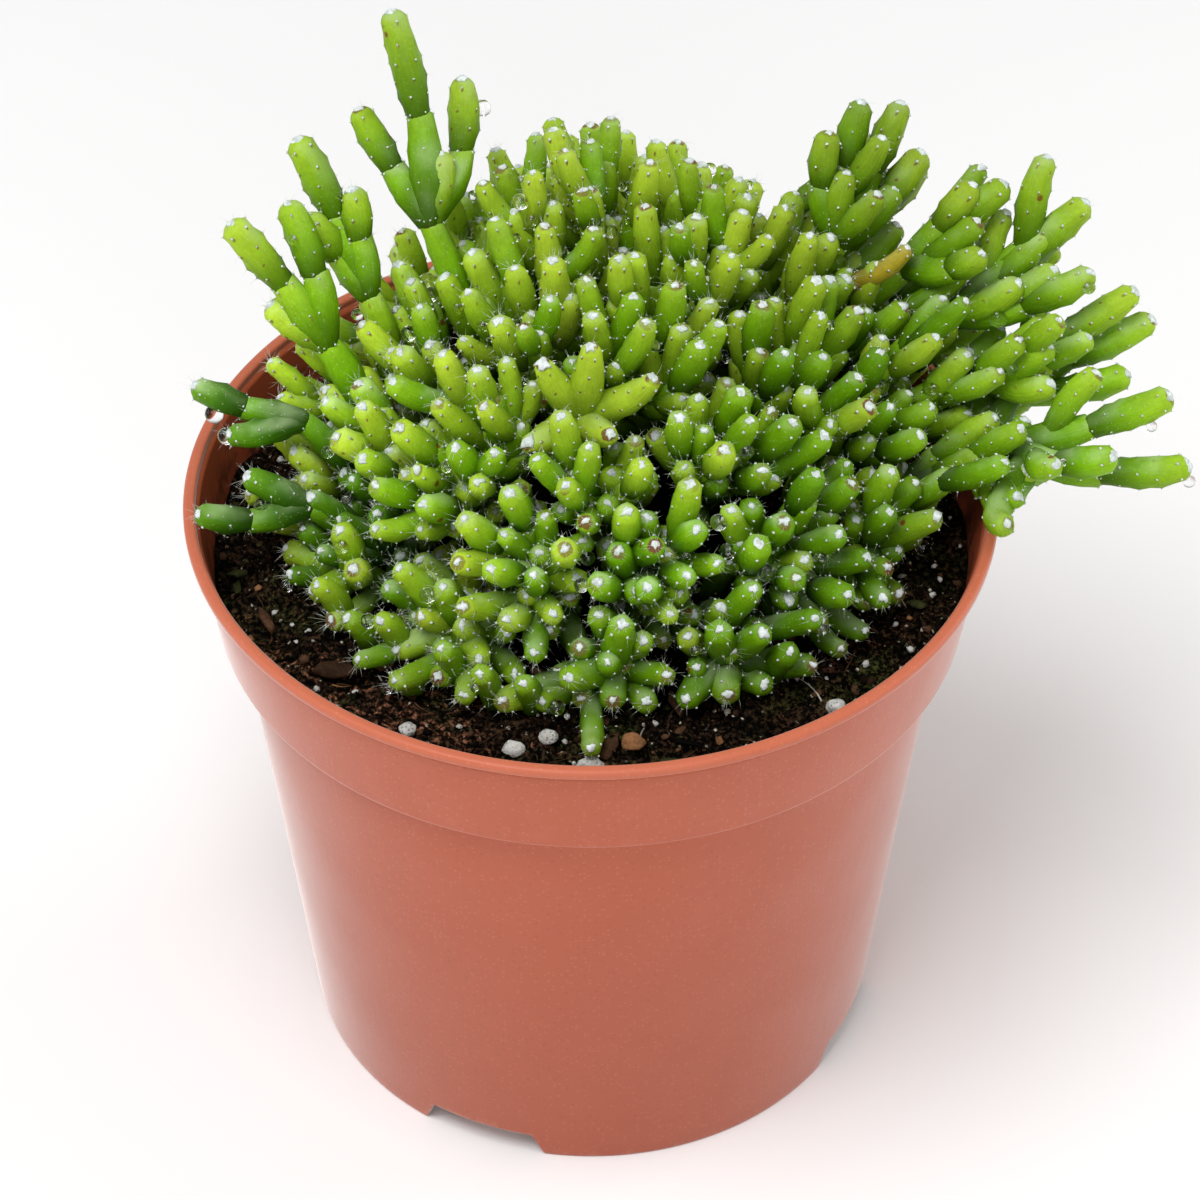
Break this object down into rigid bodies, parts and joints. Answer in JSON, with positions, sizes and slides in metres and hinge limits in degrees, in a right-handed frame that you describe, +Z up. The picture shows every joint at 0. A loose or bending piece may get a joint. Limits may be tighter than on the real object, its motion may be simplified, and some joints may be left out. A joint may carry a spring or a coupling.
{
  "type": "potted rhipsalis",
  "caption": "Low dense mound of thick branching cactus stems with woolly ends, growing out over the rim of a round nursery pot with a banded rim.",
  "frame": {"origin": "middle of the footprint of the whole object's bounding box, on the plane of the pot's feet", "axes": "+Z up along the pot's axis, -Y towards the front of the plant, +X towards the side where the long low shoots reach out over the rim"},
  "size_m": [0.1474, 0.1234, 0.1577],
  "materials": {
    "terracotta_plastic": "satin",
    "potting_mix": "moist crumb",
    "perlite": "matte",
    "bark": "matte",
    "stem_green": "waxy satin"
  },
  "bodies": {
    "root": {"bark_chip": "bark", "pebble": "bark", "perlite_1": "perlite", "perlite_2": "perlite", "perlite_3": "perlite", "perlite_4": "perlite", "perlite_5": "perlite", "pot": "terracotta_plastic", "potting_mix": "potting_mix", "shoot_01": "stem_green", "shoot_02": "stem_green", "shoot_03": "stem_green", "shoot_04": "stem_green", "shoot_05": "stem_green", "shoot_06": "stem_green", "shoot_07": "stem_green", "shoot_08": "stem_green", "shoot_09": "stem_green", "shoot_10": "stem_green", "shoot_11": "stem_green", "shoot_12": "stem_green", "shoot_13": "stem_green", "shoot_14": "stem_green", "shoot_15": "stem_green", "shoot_16": "stem_green", "shoot_17": "stem_green", "shoot_18": "stem_green", "shoot_19": "stem_green", "shoot_20": "stem_green", "shoot_21": "stem_green", "shoot_22": "stem_green", "shoot_23": "stem_green", "shoot_24": "stem_green", "shoot_25": "stem_green", "shoot_26": "stem_green", "shoot_27": "stem_green", "shoot_28": "stem_green", "shoot_29": "stem_green", "shoot_30": "stem_green", "shoot_31": "stem_green", "shoot_32": "stem_green", "shoot_33": "stem_green", "shoot_34": "stem_green", "shoot_back_left": "stem_green", "shoot_left_high": "stem_green", "shoot_left_low": "stem_green", "shoot_left_over": "stem_green", "shoot_right_back": "stem_green", "shoot_right_high": "stem_green", "shoot_right_low": "stem_green", "shoot_right_mid": "stem_green", "shoot_star": "stem_green", "shoot_tall_back": "stem_green", "shoot_tall_right": "stem_green"}
  },
  "joints": []
}
